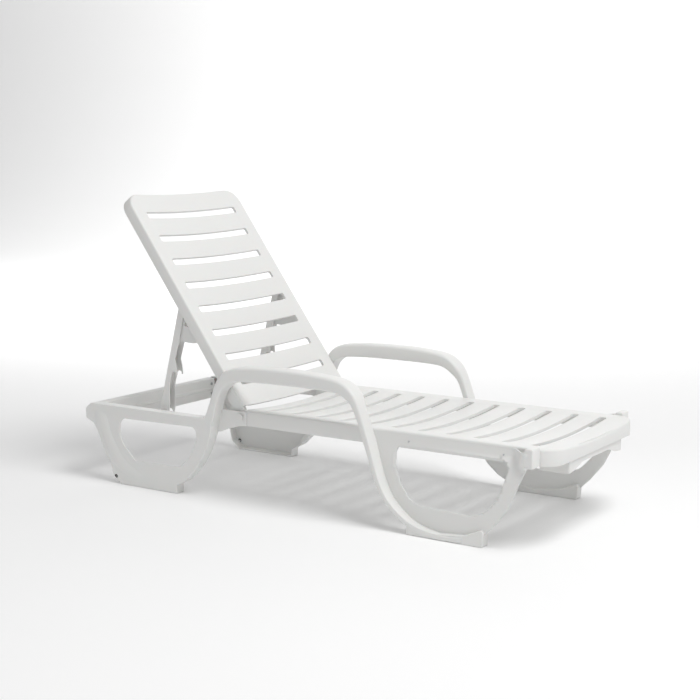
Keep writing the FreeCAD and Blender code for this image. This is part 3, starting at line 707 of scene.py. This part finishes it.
# ---------------------------------------------------------------- crossbeam
def crossbeam():
    section = rounded([(middle(x), z * MM, r * MM) for x, z, r in
                       ((-849, 266, 2), (-816, 266, 5), (-815, 236, 6), (-811, 231, 3), (-811, 225, 3),
                        (-815, 220, 6), (-816, 190, 5), (-849, 190, 2), (-849, 195, 1), (-822, 195, 3),
                        (-822, 261, 3), (-849, 261, 1))], 5)
    return plate("crossbeam_moulding", [section], -0.3113, 0.3113, 0.0008)


beam = crossbeam()


# ---------------------------------------------------------------- materials
def linear(hex_colour):
    """A colour for the shaders from an sRGB hex."""
    parts = [int(hex_colour[k:k + 2], 16) / 255 for k in (1, 3, 5)]
    return tuple(c / 12.92 if c <= 0.04045 else ((c + 0.055) / 1.055) ** 2.4 for c in parts) + (1.0,)


def add_node(tree, kind, settings, links):
    """One shader node with its settings, and links into it from (node, output) pairs."""
    node = tree.nodes.new(kind)
    for key, value in settings.items():
        if key in node.inputs:
            node.inputs[key].default_value = value
        else:
            setattr(node, key, value)
    for key, (source, output) in links.items():
        tree.links.new(source.outputs[output], node.inputs[key])
    return node


def moulded_plastic(name, colour, rough, grain_mm, grain_depth):
    """Injection-moulded plastic with a fine etched grain: it breaks highlights up and keeps them wide."""
    material = bpy.data.materials.new(name)
    material.use_nodes = True
    tree = material.node_tree
    tree.nodes.clear()
    place = add_node(tree, "ShaderNodeTexCoord", {}, {})
    # the etched grain, coarser than the real 0.3 mm so that it still reads from two metres
    grain = add_node(tree, "ShaderNodeTexNoise", {"Scale": 1000 / grain_mm, "Detail": 3.0, "Roughness": 0.55},
                     {"Vector": (place, "Object")})
    # slow flow marks of the moulding, which change the sheen a little from place to place
    flow = add_node(tree, "ShaderNodeTexNoise", {"Scale": 9.0, "Detail": 2.0, "Roughness": 0.5},
                    {"Vector": (place, "Object")})
    sheen = add_node(tree, "ShaderNodeMapRange", {"From Min": 0.3, "From Max": 0.7, "To Min": rough - 0.05,
                                                  "To Max": rough + 0.05}, {"Value": (flow, "Fac")})
    bump = add_node(tree, "ShaderNodeBump", {"Strength": grain_depth, "Distance": 0.0004},
                    {"Height": (grain, "Fac")})
    skin = add_node(tree, "ShaderNodeBsdfPrincipled",
                    {"Base Color": linear(colour), "IOR": 1.49, "Metallic": 0.0,
                                                       "Subsurface Weight": 0.04, "Subsurface Scale": 0.004},
                    {"Roughness": (sheen, "Result"), "Normal": (bump, "Normal")})
    add_node(tree, "ShaderNodeOutputMaterial", {}, {"Surface": (skin, "BSDF")})
    return material


def plated_steel(name):
    """Zinc-plated steel: bright, with a fine tumbled unevenness."""
    material = bpy.data.materials.new(name)
    material.use_nodes = True
    tree = material.node_tree
    tree.nodes.clear()
    place = add_node(tree, "ShaderNodeTexCoord", {}, {})
    tumble = add_node(tree, "ShaderNodeTexNoise", {"Scale": 900.0, "Detail": 2.0},
                      {"Vector": (place, "Object")})
    wear = add_node(tree, "ShaderNodeMapRange", {"To Min": 0.28, "To Max": 0.42}, {"Value": (tumble, "Fac")})
    skin = add_node(tree, "ShaderNodeBsdfPrincipled",
                    {"Base Color": linear("#C4C6C8"), "Metallic": 1.0, "IOR": 2.5},
                    {"Roughness": (wear, "Result")})
    add_node(tree, "ShaderNodeOutputMaterial", {}, {"Surface": (skin, "BSDF")})
    return material


white_panel = moulded_plastic("white_polypropylene_grained_panel", "#E7E7E5", 0.46, 1.1, 0.35)
white_frame = moulded_plastic("white_polypropylene_grained_frame", "#E8E8E6", 0.44, 1.1, 0.28)
black_bush = moulded_plastic("black_nylon_smooth_moulded", "#161617", 0.38, 0.8, 0.15)
steel = plated_steel("zinc_plated_steel")
finish = {"white_panel": white_panel, "white_frame": white_frame, "black_plastic": black_bush,
          "screw_steel": steel}

slots = {entry["node"]: entry["material_slot"] for entry in frame["record"]["subparts"]}
for node, obj in frame["nodes"].items():
    obj.data.materials.clear()
    obj.data.materials.append(finish[slots[node]])

for piece, body, node, words in ((frame_right, "frame", "side_frame_right", "white_frame"),
                                 (frame_left, "frame", "side_frame_left", "white_frame"),
                                 (seat_moulding, "frame", "seat_panel", "white_panel"),
                                 (beam, "frame", "rear_crossbeam", "white_frame"),
                                 (back_moulding, "backrest", "backrest_panel", "white_panel"),
                                 (prop_moulding, "prop", "prop_frame", "white_frame")):
    piece.data.materials.clear()
    piece.data.materials.append(finish[words])
    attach(piece, body)
    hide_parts(node)


# ---------------------------------------------------------------- studio
def studio_floor():
    """A plain pale floor that turns up into a backdrop far behind."""
    size = 14.0
    across = [(-size, 0.0), (size, 0.0)]
    profile = [(-9.0, -0.0005), (6.0, -0.0005)]
    for k in range(1, 9):
        a = k * math.pi / 16
        profile.append((6.0 + 3.0 * math.sin(a), 3.0 - 3.0 * math.cos(a)))
    profile.append((9.0, 9.0))
    points = [(x, y, z) for y, z in profile for x, _ in across]
    faces = [(2 * k, 2 * k + 1, 2 * k + 3, 2 * k + 2) for k in range(len(profile) - 1)]
    floor = new_mesh("studio_floor", points, faces)
    material = bpy.data.materials.new("matt_studio_paper")
    material.use_nodes = True
    tree = material.node_tree
    tree.nodes.clear()
    place = add_node(tree, "ShaderNodeTexCoord", {}, {})
    tooth = add_node(tree, "ShaderNodeTexNoise", {"Scale": 60.0, "Detail": 2.0},
                     {"Vector": (place, "Object")})
    shade = add_node(tree, "ShaderNodeMapRange", {"To Min": 0.86, "To Max": 0.94}, {"Value": (tooth, "Fac")})
    skin = add_node(tree, "ShaderNodeBsdfPrincipled", {"Base Color": linear("#FFFFFF"), "IOR": 1.4,
                                                       "Specular IOR Level": 0.1},
                    {"Roughness": (shade, "Result")})
    add_node(tree, "ShaderNodeOutputMaterial", {}, {"Surface": (skin, "BSDF")})
    floor.data.materials.append(material)


def soft_light(name, place, aim, width, power):
    light = bpy.data.lights.new(name, "AREA")
    light.shape = "SQUARE"
    light.size = width
    light.energy = power
    obj = bpy.data.objects.new(name, light)
    bpy.context.collection.objects.link(obj)
    obj.location = place
    obj.rotation_euler = (Vector(aim) - Vector(place)).to_track_quat("-Z", "Y").to_euler()


studio_floor()
soft_light("key_softbox", (3.0, -0.8, 5.4), (0.0, 0.0, 0.3), 2.6, 195)
soft_light("backdrop_softbox", (-3.0, 3.5, 5.5), (-6.5, 9.0, 1.0), 4.0, 330)

world = bpy.data.worlds.new("studio_air")
bpy.context.scene.world = world
world.use_nodes = True
world.node_tree.nodes["Background"].inputs["Color"].default_value = linear("#FFFFFF")
world.node_tree.nodes["Background"].inputs["Strength"].default_value = 0.46

lens = bpy.data.cameras.new("camera")
lens.lens = 72.0
lens.sensor_width = 36.0
lens.clip_end = 60.0
camera = bpy.data.objects.new("camera", lens)
bpy.context.collection.objects.link(camera)
camera.location = (2.5275, -3.846, 1.173)
camera.rotation_euler = (math.radians(90 - 8.53), 0.0, math.radians(33.41))
bpy.context.scene.camera = camera
bpy.context.scene.view_settings.view_transform = "Standard"
